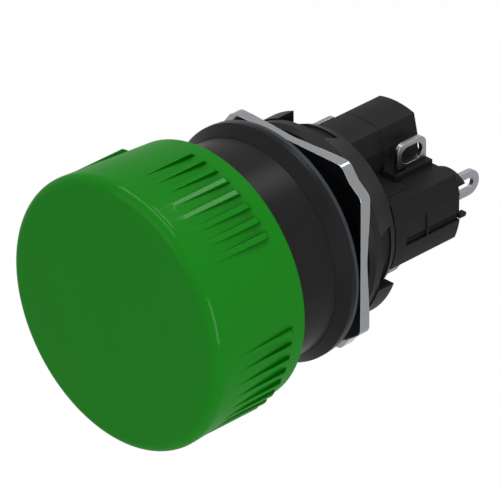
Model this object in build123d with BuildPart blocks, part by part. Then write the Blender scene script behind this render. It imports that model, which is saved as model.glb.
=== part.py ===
from build123d import *
import os

# Mushroom push button for a round 16 mm cut-out, with a two-pole changeover switch element.
# Everything is in millimetres. The button's axis is Y: the cap faces -Y and is pressed towards +Y,
# the rear terminals point to +Y, and +Z is up. The origin lies on the axis, in the rear face of
# the flange seal, which is the face that the button seats with.
# A position along the axis is called a y value, and grows from the cap towards the terminals.

os.makedirs("parts", exist_ok=True)

# Motion and fits
travel = 3.0  # stroke of the button
slide_gap = 0.06  # radial, between a sliding stem and its guide
fit_gap = 0.03  # between pieces that are pushed together and stay
run_gap = 0.3  # between pieces that move past each other

# Cap
cap_length = 13.1
cap_rim_r = 13.9
cap_flare = 0.8  # from the rim's radius to the shoulder's
cap_edge_r = 1.2
cap_dome = 0.4
cap_wall = 1.5
cap_rim_y = -8.74
snap_bead = 0.35

# Finger ribs of the cap
rib_groups = 4
ribs_per_group = 8
rib_pitch = 6.92  # degrees
rib_group_angle = 65.0  # middle of the first group, from +X towards +Z
rib_width = 0.6
rib_rise = 0.6  # from the rim's radius to the ribs', which fade where the cap is as wide
rib_ramp = 0.63  # length of the ribs' sloping rear ends
rib_rear_inset = 1.78  # from the cap's rim to the ribs' rear ends

# Seal and flange
seal_thick = 0.45
seal_inset = 0.05  # from the flange's rim to the seal's
flange_width = 1.1  # beyond the collar
flange_rim = 0.55
flange_slope = 1.2
flange_step = 0.05

# Collar, web, barrel and guide of the front housing
collar_play = 0.7  # radial, inside the cap's rim
collar_wall = 1.6
collar_reach = 12.4  # from the flange's front edge
web_thick = 2.0
barrel_r = 7.9
barrel_wall = 1.3
barrel_length = 7.95
guide_r = 4.3
guide_front_y = -9.0
guide_rear_y = 3.0
stem_seal_r = 3.6
stem_seal_depth = 1.6
stem_seal_lip = 0.35

# Plunger, its carrier and its clip
stem_r = 2.6
carrier_thick = 1.4
carrier_hub_r = 4.6
carrier_hub_length = 4.0
shoulder_thick = 1.2
shoulder_r = 6.0
clip_thick = 0.6
clip_r = 4.2
clip_groove_r = 2.0
clip_mouth = 3.4
stem_tail = 0.5  # left behind the clip's groove
tip_r = 1.9
tip_length = 3.1
key_width = 1.2
key_height = 0.4

# Return spring
return_wire = 0.7
return_mean_r = 5.3
return_turns = 6

# Clamping: grip, plate and nut
grip = 2.5
plate_inset = 0.47  # from the nut's rim to the plate's flat sides
plate_thick = 1.27
plate_floor = 0.85  # thickness in the middle of the dished rear face
plate_dish = 1.0  # beyond the nut's rim
plate_bevel = 2.78  # from a square corner to the start of its bevel
plate_bevel_dip = 0.2
plate_round = 1.1
nut_core_wall = 1.3
nut_rim_width = 1.8  # beyond the core
nut_rim = 1.05
nut_lip = 0.15  # the core flares by this at its rear end
nut_rear_gap = 0.2  # from the nut's rear end to the barrel's
washer_hub = 0.25  # from the plate's floor to the front of the washer's rim
washer_bevel = 0.3
washer_thick = 0.85
thread_gap = 0.05
lug_start = 13.0  # degrees, from +X towards +Z
lug_arc = 64.0
lug_inset = 0.15
lug_taper = 1.7
lug_length = 3.5
lug_reach = 0.7  # beyond the barrel
lug_play = 0.4  # degrees, on each side of a lug
claw_half = 3.9  # from the axis planes to the claws' flat sides
claw_wall = 1.2
claw_length = 2.25

# Switch element: outer section
element_r = 8.8
lobe_half = 2.5
lobe_trim = 0.35  # the upper and lower lobes are this much narrower on one flank
lobe_flank_z = 6.2
lobe_foot_half = 3.1
wing_half = 3.65
wing_reach = 0.4  # the left and right lobes reach this much further out
inner_fillet = 1.5
seam_y = 13.15
seam_gap = 0.08
seam_depth = 0.35  # of the groove that runs around the seam
element_rear_y = 18.15
side_plate = 1.75  # thickness on the outermost lobes

# Switch element: base and spigot
base_overhang = 0.23  # beyond the nut's core
base_length = 0.85
base_wall = 0.95
base_slit = 0.1
base_slit_depth = 0.35
spigot_length = 1.9
spigot_wall = 1.2
bayonet_height = 0.45
bayonet_width = 0.6
bayonet_y = 6.4
bayonet_slot = 3.4
bayonet_arc = 50.0  # degrees from the way in to the locked place

# Switch element: chamber
chamber_play = 0.45  # beyond the common terminals
chamber_half_z = 2.85
chamber_lobe_half = 1.9
chamber_lobe_z = 7.6
rear_wall = 0.95

# Switch element: outside details
recess_depth = 0.18
recess_top = 1.45
recess_bottom = -0.45
recess_front_y = 10.4
recess_rib_y = 13.4
recess_rib = 0.15
groove_depth = 0.45
groove_top = -0.95
groove_bottom = -1.3
pedestal_inner = 1.1  # from the blade's middle towards the axis
pedestal_outer = 0.9
pedestal_height = 0.6
pedestal_slope = 0.15
pedestal_lap = 0.55  # over the front half
pedestal_inset = 0.2  # from the element's rear face
pocket_width = 0.2  # a slot along the blade's outer face
pocket_depth = 0.4
pocket_length = 1.75
hood_r = 3.15
hood_shift = 0.5  # from the common terminal to the hood's middle
hood_wall = 0.7
hood_height = 1.15
hood_edge = 2.23
nub_top = -0.7
nub_height = 0.55
nub_width = 0.6
nub_length = 0.9
hook_depth = 0.3
hook_length = 1.0
hook_width = 3.0

# Terminals
blade_thick = 0.5
contact_width = 1.5  # between a side terminal and the common terminal
blade_head = 4.1
blade_leg = 2.7
blade_top = 7.05
blade_round = 1.0
blade_hole_length = 3.0
blade_hole_height = 1.85
blade_hole_z = 5.6
front_blade_y = 12.2
contact_lead = 0.45  # the blades stand the stroke and this apart
leg_offset = 0.45
pad_overlap = 0.8
tail_inset = 2.8  # from the element's crown to a common terminal
tail_width = 2.8
tail_reach = 5.75
tail_slot_length = 2.6
tail_slot_width = 1.2
tail_slot_rim = 0.8
strip_front_y = 10.6

# Contact slider, its spring and its bridges
nose_r = 2.8
slider_play = 0.9  # from the slider's flanks to the middles of the side terminals
slider_half_z = 2.3
slider_length = 4.0
slider_bore_depth = 3.0
arm_half_z = 0.55
arm_z = 1.75
arm_length = 1.3
finger_thick = 0.4
finger_half_z = 0.6
finger_length = 3.7
bridge_sheet = 0.18
bridge_length = 0.7
bridge_gap = 0.03
slider_wire = 0.3
slider_mean_r = 1.3
slider_turns = 9
pin_r = 0.9
pin_length = 1.0


def at_y(y):
    """The plane across the axis at y: its own x is +X, its own y is +Z and it faces -Y."""
    return Plane.XZ.offset(-y)


def element_section():
    """Draws the switch element's section: four lobes, of which the left and right ones reach further."""
    for side in (1, -1):
        Polygon(
            (side * lobe_half, side * element_r),
            (side * lobe_foot_half, side * lobe_flank_z),
            (side * lobe_foot_half, 0),
            (-side * lobe_foot_half, 0),
            (-side * lobe_foot_half, side * lobe_flank_z),
            (side * (lobe_trim - lobe_half), side * element_r),
            align=None,
        )
    Circle(element_r, mode=Mode.INTERSECT)
    with BuildSketch(Plane.XY, mode=Mode.PRIVATE) as wings:
        Rectangle(2 * wing_r, 2 * wing_half)
        Circle(wing_r, mode=Mode.INTERSECT)
    add(wings.sketch)


def chamber_section():
    """Draws the hollow that the two halves of the switch element share."""
    Rectangle(2 * chamber_half_x, 2 * chamber_half_z)
    Rectangle(2 * chamber_lobe_half, 2 * chamber_lobe_z)


def half_turned(shape):
    """A copy of a shape, turned half a turn about the button's axis."""
    return shape.rotate(Axis.Y, 180)


def write(name, shape):
    """Labels a finished piece and writes it to its own file."""
    shape.label = name
    export_step(shape, f"parts/{name}.step")


# Radii and distances from the axis that more than one piece uses
cap_shoulder_r = cap_rim_r + cap_flare
collar_r = cap_rim_r - cap_wall - collar_play
flange_r = collar_r + flange_width
seal_r = flange_r - seal_inset
nut_bore_r = barrel_r + thread_gap
nut_core_r = barrel_r + nut_core_wall
nut_r = nut_core_r + nut_rim_width
lug_front_r = nut_r - lug_inset
lug_rear_r = lug_front_r - lug_taper
lug_reach_r = barrel_r + lug_reach
plate_half = nut_r - plate_inset
wing_r = element_r + wing_reach
side_plate_x = element_r - side_plate
tail_x = element_r - tail_inset
blade_x = tail_x - contact_width
chamber_half_x = tail_x + chamber_play
rear_blade_y = front_blade_y + travel + contact_lead

# Positions along the axis that more than one piece uses
cap_front_y = cap_rim_y - cap_length
cap_floor_y = cap_front_y + cap_wall
flange_rear_y = -seal_thick
flange_front_y = flange_rear_y - flange_rim
slope_front_y = flange_front_y - flange_slope
collar_front_y = flange_front_y - collar_reach
web_front_y = flange_rear_y - web_thick
barrel_rear_y = barrel_length
carrier_rear_y = cap_floor_y + carrier_thick
hub_rear_y = carrier_rear_y + carrier_hub_length
shoulder_rear_y = hub_rear_y + shoulder_thick
clip_rear_y = guide_rear_y + clip_thick
tail_end_y = clip_rear_y + stem_tail
tip_end_y = tail_end_y + tip_length
plate_rear_y = grip + plate_thick
washer_front_y = grip + plate_floor
nut_front_y = washer_front_y + washer_thick
lug_front_y = nut_front_y + nut_rim
lug_rear_y = lug_front_y + lug_length
nut_rear_y = barrel_rear_y - nut_rear_gap
base_rear_y = barrel_rear_y + base_length
chamber_front_y = barrel_rear_y + base_wall
lobe_front_y = base_rear_y + base_slit
chamber_rear_y = element_rear_y - rear_wall
cap_slope = (cap_shoulder_r - cap_rim_r) / cap_length

# Mushroom cap: a turned shell with a domed face and a rounded edge
with BuildPart() as mushroom_cap:
    with BuildSketch(Plane.XY) as cap_outline:
        with BuildLine():
            TangentArc((0, cap_front_y), (cap_shoulder_r, cap_front_y + cap_dome), tangent=(1, 0))
            Polyline(
                (cap_shoulder_r, cap_front_y + cap_dome),
                (cap_rim_r, cap_rim_y),
                (0, cap_rim_y),
                (0, cap_front_y),
            )
        make_face()
        fillet(cap_outline.vertices().sort_by(Axis.X)[-1], radius=cap_edge_r)
    revolve(axis=Axis.Y)
    rib_rear_y = cap_rim_y - rib_rear_inset
    rib_front_y = cap_rim_y - (rib_rise + fit_gap) / cap_slope
    with BuildPart(mode=Mode.PRIVATE) as rib:
        with BuildSketch(Plane.XY):
            with BuildLine():
                Polyline(
                    (cap_rim_r - cap_wall / 2, rib_rear_y),
                    (cap_rim_r + rib_rear_inset * cap_slope, rib_rear_y),
                    (cap_rim_r + rib_rise, rib_rear_y - rib_ramp),
                    (cap_rim_r + rib_rise, rib_front_y),
                    (cap_rim_r - cap_wall / 2, rib_front_y),
                    close=True,
                )
            make_face()
        extrude(amount=rib_width / 2, both=True)
        fillet(rib.edges().filter_by(Axis.Y).group_by(Axis.X)[-1], radius=rib_width / 8)
    for group in range(rib_groups):
        for place in range(ribs_per_group):
            rib_angle = rib_group_angle + group * 360 / rib_groups
            rib_angle += (place - (ribs_per_group - 1) / 2) * rib_pitch
            add(rib.part.rotate(Axis.Y, -rib_angle))
    inner_rim_r = cap_rim_r - cap_wall
    inner_floor_r = cap_shoulder_r - cap_wall - cap_edge_r * cap_slope
    bead_y = carrier_rear_y + fit_gap
    bead_run = bead_y + 2 * snap_bead - cap_floor_y
    with BuildSketch(Plane.XY):
        with BuildLine():
            Polyline(
                (0, cap_rim_y),
                (inner_rim_r, cap_rim_y),
                (inner_floor_r - bead_run * cap_slope, bead_y + 2 * snap_bead),
                (inner_floor_r - snap_bead, bead_y + snap_bead),
                (inner_floor_r, bead_y),
                (inner_floor_r, cap_floor_y),
                (0, cap_floor_y),
                close=True,
            )
        make_face()
    revolve(axis=Axis.Y, mode=Mode.SUBTRACT)
write("mushroom_cap", mushroom_cap.part)

# Cap carrier: a disc with a hub, snapped in behind the cap's face
with BuildPart() as cap_carrier:
    with BuildSketch(at_y(cap_floor_y)):
        Circle(inner_floor_r - fit_gap)
    extrude(amount=-carrier_thick)
    with BuildSketch(at_y(carrier_rear_y)):
        Circle(carrier_hub_r)
    extrude(amount=-carrier_hub_length)
    with BuildSketch(at_y(carrier_rear_y)):
        with PolarLocations(0, 6):
            Rectangle(2 * inner_floor_r - 4 * snap_bead, carrier_thick / 2)
    extrude(amount=-carrier_hub_length / 2)
    with BuildSketch(at_y(cap_floor_y)):
        Circle(stem_r + fit_gap)
        Rectangle(2 * (stem_r + key_height + fit_gap), key_width + 2 * fit_gap)
    extrude(amount=-(carrier_thick + carrier_hub_length), mode=Mode.SUBTRACT)
write("cap_carrier", cap_carrier.part)

# Plunger: a turned stem with a spring shoulder, two keys and a groove for the clip
with BuildPart() as plunger:
    with BuildSketch(Plane.XY):
        with BuildLine():
            Polyline(
                (0, cap_floor_y + fit_gap),
                (stem_r, cap_floor_y + fit_gap),
                (stem_r, hub_rear_y),
                (shoulder_r, hub_rear_y),
                (shoulder_r, shoulder_rear_y),
                (stem_r, shoulder_rear_y),
                (stem_r, guide_rear_y),
                (clip_groove_r, guide_rear_y),
                (clip_groove_r, clip_rear_y),
                (stem_r, clip_rear_y),
                (stem_r, tail_end_y),
                (tip_r, tail_end_y),
                (tip_r, tip_end_y - tip_r / 4),
                (tip_r * 3 / 4, tip_end_y),
                (0, tip_end_y),
                close=True,
            )
        make_face()
    revolve(axis=Axis.Y)
    with BuildSketch(at_y(cap_floor_y + fit_gap)):
        Rectangle(2 * (stem_r + key_height), key_width)
    extrude(amount=-(hub_rear_y - cap_floor_y - fit_gap))
write("plunger", plunger.part)

# Plunger clip: a spring-steel ring, open on one side, that stops the plunger behind its guide
with BuildPart() as plunger_clip:
    with BuildSketch(at_y(guide_rear_y)):
        Circle(clip_r)
        Circle(clip_groove_r + fit_gap, mode=Mode.SUBTRACT)
        Rectangle(clip_r + clip_mouth, clip_mouth, align=(Align.MIN, Align.CENTER), mode=Mode.SUBTRACT)
    extrude(amount=-clip_thick)
    fillet(plunger_clip.edges().filter_by(Axis.Y).group_by(Axis.X)[-1], radius=clip_thick / 2)
write("plunger_clip", plunger_clip.part)


def coil(front_y, rear_y, wire, mean_r, turns):
    """A compression spring about the axis, with its ends ground flat at front_y and rear_y."""
    length = rear_y - front_y
    pitch = length / turns
    with BuildPart() as spring:
        with BuildLine() as path:
            Helix(pitch, length + pitch, mean_r, center=(0, 0, -pitch / 2))
        with BuildSketch(Plane(path.line @ 0, z_dir=path.line % 0)):
            RegularPolygon(wire / 2, 8)
        sweep(is_frenet=True)
        with BuildSketch(Plane.XY):
            Circle(2 * mean_r)
        extrude(amount=length, mode=Mode.INTERSECT)
    return spring.part.rotate(Axis.X, -90).translate((0, front_y, 0))


# Return spring: stands on the web, around the guide, and pushes on the plunger's shoulder
return_spring = coil(shoulder_rear_y, web_front_y, return_wire, return_mean_r, return_turns)
write("return_spring", return_spring)

# Front housing: flange, collar, web, guide tube and barrel, turned as one moulding
guide_bore_r = stem_r + slide_gap
barrel_bore_r = barrel_r - barrel_wall
bayonet_groove_r = barrel_bore_r + bayonet_height
with BuildPart() as front_housing:
    with BuildSketch(Plane.XY):
        with BuildLine():
            Polyline(
                (guide_bore_r, guide_front_y + stem_seal_depth),
                (stem_seal_r, guide_front_y + stem_seal_depth),
                (stem_seal_r, guide_front_y),
                (guide_r, guide_front_y),
                (guide_r, web_front_y),
                (collar_r - collar_wall, web_front_y),
                (collar_r - collar_wall, collar_front_y),
                (collar_r, collar_front_y),
                (collar_r, slope_front_y),
                (collar_r + flange_step, slope_front_y),
                (flange_r, flange_front_y),
                (flange_r, flange_rear_y),
                (barrel_r, flange_rear_y),
                (barrel_r, barrel_rear_y),
                (barrel_bore_r, barrel_rear_y),
                (barrel_bore_r, bayonet_y + bayonet_width + fit_gap),
                (bayonet_groove_r + fit_gap, bayonet_y + bayonet_width + fit_gap),
                (bayonet_groove_r + fit_gap, bayonet_y - fit_gap),
                (barrel_bore_r, bayonet_y - fit_gap),
                (barrel_bore_r, flange_rear_y),
                (guide_r, flange_rear_y),
                (guide_r, guide_rear_y),
                (guide_bore_r, guide_rear_y),
                close=True,
            )
        make_face()
    revolve(axis=Axis.Y)
    fillet(
        front_housing.edges().filter_by(GeomType.CIRCLE).group_by(Axis.Y)[0].sort_by(SortBy.RADIUS)[-1],
        radius=collar_wall / 3,
    )
    with BuildSketch(at_y(barrel_rear_y)):
        with PolarLocations(0, 2, start_angle=90 + bayonet_arc):
            Rectangle(2 * (bayonet_groove_r + fit_gap), bayonet_slot)
        Circle(barrel_bore_r - fit_gap, mode=Mode.SUBTRACT)
    extrude(amount=barrel_rear_y - bayonet_y, mode=Mode.SUBTRACT)
write("front_housing", front_housing.part)

# Stem seal: a rubber lip ring in the mouth of the guide
with BuildPart() as stem_seal:
    with BuildSketch(Plane.XY):
        with BuildLine():
            Polyline(
                (guide_bore_r, guide_front_y + stem_seal_depth),
                (stem_seal_r - fit_gap, guide_front_y + stem_seal_depth),
                (stem_seal_r - fit_gap, guide_front_y + stem_seal_lip),
                (guide_bore_r + stem_seal_lip, guide_front_y + stem_seal_lip),
                (guide_bore_r, guide_front_y - stem_seal_lip),
                close=True,
            )
        make_face()
    revolve(axis=Axis.Y)
write("stem_seal", stem_seal.part)

# Flange seal: a flat rubber ring under the flange
with BuildPart() as flange_seal:
    with BuildSketch(at_y(flange_rear_y)):
        Circle(seal_r)
        Circle(barrel_r + fit_gap, mode=Mode.SUBTRACT)
    extrude(amount=-seal_thick)
write("flange_seal", flange_seal.part)

# Clamp plate: a square sheet-metal washer with dipped, bevelled corners and a dished rear face
with BuildPart() as clamp_plate:
    bevel_start = plate_half - plate_bevel
    bevel_middle = plate_half - plate_bevel / 2 - plate_bevel_dip
    with BuildSketch(at_y(grip)) as plate_outline:
        with BuildLine():
            Polyline(
                (bevel_start, plate_half),
                (bevel_middle, bevel_middle),
                (plate_half, bevel_start),
                (plate_half, 0),
                (0, 0),
                (0, plate_half),
                close=True,
            )
        make_face()
        mirror(about=Plane.YZ)
        mirror(about=Plane.XZ)
        fillet(
            plate_outline.vertices().filter_by(lambda v: max(abs(v.X), abs(v.Y)) > plate_half - fit_gap),
            radius=plate_round,
        )
        Circle(barrel_r + run_gap, mode=Mode.SUBTRACT)
    extrude(amount=-plate_thick)
    with BuildSketch(Plane.XY):
        with BuildLine():
            Polyline(
                (0, washer_front_y),
                (nut_core_r + run_gap / 3, washer_front_y),
                (nut_r + plate_dish, plate_rear_y),
                (0, plate_rear_y),
                close=True,
            )
        make_face()
    revolve(axis=Axis.Y, mode=Mode.SUBTRACT)
write("clamp_plate", clamp_plate.part)

# Nut washer: a ring with a hub that centres it in the plate's dish
with BuildPart() as nut_washer:
    with BuildSketch(Plane.XY):
        with BuildLine():
            Polyline(
                (nut_bore_r, washer_front_y),
                (nut_core_r, washer_front_y),
                (nut_core_r, washer_front_y + washer_hub),
                (nut_r - washer_bevel, washer_front_y + washer_hub),
                (nut_r, nut_front_y),
                (nut_bore_r, nut_front_y),
                close=True,
            )
        make_face()
    revolve(axis=Axis.Y)
write("nut_washer", nut_washer.part)

# Fixing nut: a threaded ring with two long tapered lugs, and two claws for a spanner between them
with BuildPart() as fixing_nut:
    with BuildSketch(Plane.XY):
        with BuildLine():
            Polyline(
                (nut_bore_r, nut_front_y),
                (nut_r, nut_front_y),
                (lug_front_r, lug_front_y),
                (nut_core_r, lug_front_y),
                (nut_core_r, nut_rear_y - nut_lip),
                (nut_core_r + nut_lip, nut_rear_y),
                (nut_bore_r, nut_rear_y),
                close=True,
            )
        make_face()
    revolve(axis=Axis.Y)
    with BuildPart(mode=Mode.PRIVATE) as lug:
        with BuildSketch(Plane.XY):
            with BuildLine():
                Polyline(
                    (lug_reach_r, lug_front_y),
                    (lug_front_r, lug_front_y),
                    (lug_rear_r, lug_rear_y),
                    (lug_reach_r, lug_rear_y),
                    close=True,
                )
            make_face()
        revolve(axis=Axis.Y, revolution_arc=lug_arc)
    upper_lug = lug.part.rotate(Axis.Y, -(lug_start + lug_arc))
    add(upper_lug)
    add(half_turned(upper_lug))
    with BuildSketch(at_y(lug_front_y)):
        with PolarLocations(0, 2):
            with Locations((claw_half, -claw_half)):
                Rectangle(nut_r, nut_r, align=(Align.MIN, Align.MAX))
        Circle(nut_r, mode=Mode.INTERSECT)
        Circle(nut_r - claw_wall, mode=Mode.SUBTRACT)
    extrude(amount=-claw_length)
write("fixing_nut", fixing_nut.part)

# Front half of the switch element: round base, spigot with two bayonet lugs, and the body's front
pedestal_top = wing_half + pedestal_height
slot_width = blade_thick + 2 * fit_gap
front_leg_y = front_blade_y - leg_offset
rear_leg_y = rear_blade_y - leg_offset


def pedestal(front_y, rear_y):
    """The block that carries one side terminal, on the top of the right lobe."""
    with BuildPart(mode=Mode.PRIVATE) as block:
        with BuildSketch(Plane.YZ.offset(blade_x - pedestal_inner)):
            Polygon(
                (front_y, chamber_half_z),
                (front_y, wing_half),
                (front_y + pedestal_slope, pedestal_top),
                (rear_y, pedestal_top),
                (rear_y, chamber_half_z),
                align=None,
            )
        extrude(amount=pedestal_inner + pedestal_outer)
    return block.part


spigot_bore_r = barrel_bore_r - fit_gap - spigot_wall
with BuildPart() as element_front_housing:
    slit_r = element_r - base_slit_depth
    with BuildSketch(Plane.XY):
        with BuildLine():
            Polyline(
                (nose_r + slide_gap, barrel_rear_y),
                (spigot_bore_r, barrel_rear_y),
                (spigot_bore_r, barrel_rear_y - spigot_length),
                (barrel_bore_r - fit_gap, barrel_rear_y - spigot_length),
                (barrel_bore_r - fit_gap, barrel_rear_y),
                (nut_core_r + base_overhang, barrel_rear_y),
                (lug_rear_r, base_rear_y),
                (slit_r, base_rear_y),
                (slit_r, lobe_front_y),
                (nose_r + slide_gap, lobe_front_y),
                close=True,
            )
        make_face()
    revolve(axis=Axis.Y)
    with BuildPart(mode=Mode.PRIVATE) as lug_notch:
        with BuildSketch(Plane.XY):
            with Locations((lug_reach_r - fit_gap, barrel_rear_y)):
                Rectangle(element_r, base_length, align=(Align.MIN, Align.MIN))
        revolve(axis=Axis.Y, revolution_arc=lug_arc + 2 * lug_play)
    upper_notch = lug_notch.part.rotate(Axis.Y, -(lug_start + lug_arc + lug_play))
    add(upper_notch, mode=Mode.SUBTRACT)
    add(half_turned(upper_notch), mode=Mode.SUBTRACT)
    with BuildSketch(at_y(lobe_front_y)):
        element_section()
        Rectangle(2 * (side_plate_x - seam_gap), 2 * element_r, mode=Mode.INTERSECT)
    extrude(amount=-(seam_y - seam_gap - lobe_front_y))
    with BuildSketch(at_y(lobe_front_y)):
        element_section()
        offset(amount=-seam_depth)
        Rectangle(2 * (side_plate_x - seam_gap), 2 * element_r, mode=Mode.INTERSECT)
    extrude(amount=-(seam_y - lobe_front_y))
    front_pedestal = pedestal(lobe_front_y + run_gap, seam_y - seam_gap)
    add(front_pedestal.mirror(Plane.YZ))
    add(half_turned(front_pedestal.mirror(Plane.YZ)))
    with BuildSketch(at_y(chamber_front_y)):
        chamber_section()
    extrude(amount=-(seam_y - chamber_front_y), mode=Mode.SUBTRACT)
    with BuildSketch(at_y(front_leg_y - blade_leg / 2 - fit_gap)):
        with PolarLocations(0, 2):
            with Locations((blade_x, 0)):
                Rectangle(slot_width, element_r, align=(Align.CENTER, Align.MAX))
    extrude(amount=-(blade_leg + 2 * fit_gap), mode=Mode.SUBTRACT)
    with BuildSketch(at_y(lobe_front_y + hook_length)):
        with PolarLocations(0, 2):
            with Locations((side_plate_x, 0)):
                Rectangle(2 * (hook_depth + 2 * fit_gap), hook_width + 2 * fit_gap)
    extrude(amount=-(hook_length + fit_gap), mode=Mode.SUBTRACT)
    with BuildSketch(at_y(bayonet_y)):
        with PolarLocations(0, 2, start_angle=90):
            Rectangle(2 * bayonet_groove_r, bayonet_slot - run_gap)
        Circle(bayonet_groove_r, mode=Mode.INTERSECT)
        Circle(barrel_bore_r - spigot_wall, mode=Mode.SUBTRACT)
    extrude(amount=-bayonet_width)
write("element_front_housing", element_front_housing.part)

# Rear half of the switch element: the body's rear, with two side plates that reach forward and hook in
with BuildPart() as element_rear_housing:
    with BuildSketch(at_y(seam_y)) as rear_section:
        element_section()
        fillet(
            rear_section.vertices().filter_by(
                lambda v: abs(abs(v.X) - lobe_foot_half) < fit_gap and abs(abs(v.Y) - wing_half) < fit_gap
            ),
            radius=inner_fillet,
        )
    extrude(amount=-(element_rear_y - seam_y))
    with BuildSketch(at_y(lobe_front_y)):
        element_section()
        Rectangle(2 * side_plate_x, 2 * element_r, mode=Mode.SUBTRACT)
    extrude(amount=-(seam_y - lobe_front_y))
    with BuildSketch(at_y(lobe_front_y + hook_length)):
        with PolarLocations(0, 2):
            with Locations((side_plate_x - hook_depth, 0)):
                Rectangle(2 * hook_depth, hook_width, align=(Align.MIN, Align.CENTER))
    extrude(amount=-hook_length)
    rear_pedestal = pedestal(seam_y - pedestal_lap, element_rear_y - pedestal_inset)
    add(rear_pedestal)
    add(half_turned(rear_pedestal))
    with BuildSketch(at_y(seam_y - pedestal_lap / 2)):
        with PolarLocations(0, 2):
            with Locations((blade_x + blade_thick / 2, pedestal_top - pocket_depth)):
                Rectangle(pocket_width, 2 * pocket_depth, align=(Align.MIN, Align.MIN))
    extrude(amount=-pocket_length, mode=Mode.SUBTRACT)
    with BuildSketch(at_y(seam_y - pedestal_lap)):
        with PolarLocations(0, 2):
            with Locations((blade_x - pedestal_inner, wing_half + fit_gap)):
                Rectangle(element_r, element_r, align=(Align.MIN, Align.MAX))
        Rectangle(2 * side_plate_x, 4 * element_r, mode=Mode.INTERSECT)
    extrude(amount=-pedestal_lap, mode=Mode.SUBTRACT)
    with BuildSketch(at_y(seam_y)):
        chamber_section()
    extrude(amount=-(chamber_rear_y - seam_y), mode=Mode.SUBTRACT)
    with BuildSketch(at_y(chamber_rear_y)):
        Circle(pin_r)
    extrude(amount=pin_length)
    with BuildSketch(at_y(rear_leg_y - blade_leg / 2 - fit_gap)):
        with PolarLocations(0, 2):
            with Locations((blade_x, 0)):
                Rectangle(slot_width, element_r, align=(Align.CENTER, Align.MIN))
    extrude(amount=-(blade_leg + 2 * fit_gap), mode=Mode.SUBTRACT)
    with BuildSketch(at_y(chamber_rear_y)):
        with PolarLocations(0, 2):
            with Locations((tail_x, 0)):
                Rectangle(slot_width, tail_width + 2 * fit_gap)
    extrude(amount=-rear_wall, mode=Mode.SUBTRACT)
    for front_y, rear_y in (
        (recess_front_y, recess_rib_y),
        (recess_rib_y + recess_rib, element_rear_y),
    ):
        with BuildSketch(at_y(front_y)):
            with PolarLocations(0, 2):
                Polygon(
                    (wing_r - recess_depth, recess_top),
                    (wing_r - recess_depth, recess_bottom),
                    (wing_r - groove_depth, groove_top),
                    (wing_r - groove_depth, groove_bottom),
                    (wing_r + groove_depth, groove_bottom),
                    (wing_r + groove_depth, recess_top),
                    align=None,
                )
        extrude(amount=-(rear_y - front_y), mode=Mode.SUBTRACT)
    with BuildSketch(at_y(element_rear_y)):
        with PolarLocations(0, 2):
            with Locations((tail_x + hood_shift, 0)):
                Circle(hood_r)
        with PolarLocations(0, 2):
            with Locations((tail_x + hood_shift, 0)):
                Circle(hood_r - hood_wall, mode=Mode.SUBTRACT)
            with Locations((tail_x + hood_shift - hood_r, 0)):
                Rectangle(2 * hood_r, hood_r, align=(Align.MIN, Align.MAX), mode=Mode.SUBTRACT)
            with Locations((tail_x + hood_shift, 0)):
                Rectangle(hood_r, hood_edge, align=(Align.MIN, Align.MIN), mode=Mode.SUBTRACT)
        Circle(wing_r, mode=Mode.INTERSECT)
    extrude(amount=-hood_height)
    with BuildPart(mode=Mode.PRIVATE) as nub:
        with BuildSketch(at_y(element_rear_y)):
            with Locations((wing_r, nub_top)):
                Rectangle(2 * nub_width, nub_height, align=(Align.CENTER, Align.MAX))
            Circle(wing_r, mode=Mode.INTERSECT)
        extrude(amount=-nub_length)
        fillet(nub.faces().sort_by(Axis.Y)[-1].edges().filter_by(Axis.X), radius=nub_height / 3)
    add(nub.part)
    add(half_turned(nub.part))
write("element_rear_housing", element_rear_housing.part)


def side_terminal(blade_y, leg_y):
    """A flat stamping: a rounded solder blade with an oblong hole, and a leg that ends in a contact pad."""
    with BuildPart(mode=Mode.PRIVATE) as stamping:
        with BuildSketch(Plane.YZ.offset(blade_x)) as outline:
            with Locations((blade_y, pedestal_top)):
                Rectangle(blade_head, blade_top - pedestal_top, align=(Align.CENTER, Align.MIN))
            fillet(outline.vertices().group_by(Axis.Y)[-1], radius=blade_round)
            fillet(outline.vertices().group_by(Axis.Y)[0], radius=blade_round / 4)
            with Locations((leg_y, -pad_overlap)):
                Rectangle(
                    blade_leg,
                    pedestal_top + pad_overlap + blade_round / 2,
                    align=(Align.CENTER, Align.MIN),
                )
            with Locations((blade_y, blade_hole_z)):
                SlotOverall(blade_hole_length, blade_hole_height, mode=Mode.SUBTRACT)
        extrude(amount=blade_thick / 2, both=True)
    return stamping.part


# Four side terminals: the rear pair makes when the button is pressed, the front pair breaks
terminal_no_right = side_terminal(rear_blade_y, rear_leg_y)
write("terminal_no_right", terminal_no_right)
terminal_no_left = half_turned(terminal_no_right)
write("terminal_no_left", terminal_no_left)
terminal_nc_left = side_terminal(front_blade_y, front_leg_y).mirror(Plane.YZ)
write("terminal_nc_left", terminal_nc_left)
terminal_nc_right = half_turned(terminal_nc_left)
write("terminal_nc_right", terminal_nc_right)

# Two common terminals: a contact strip inside and a slotted blade behind the rear wall
with BuildPart() as terminal_common_right:
    tail_end = element_rear_y + tail_reach
    with BuildSketch(Plane.YZ.offset(tail_x)) as strip:
        with Locations((strip_front_y, 0)):
            Rectangle(tail_end - strip_front_y, tail_width, align=(Align.MIN, Align.CENTER))
        fillet(strip.vertices().group_by(Axis.X)[-1], radius=tail_width / 2 - fit_gap)
        with Locations((tail_end - tail_slot_rim - tail_slot_length / 2, 0)):
            SlotOverall(tail_slot_length, tail_slot_width, mode=Mode.SUBTRACT)
    extrude(amount=blade_thick / 2, both=True)
write("terminal_common_right", terminal_common_right.part)
terminal_common_left = half_turned(terminal_common_right.part)
write("terminal_common_left", terminal_common_left)

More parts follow.
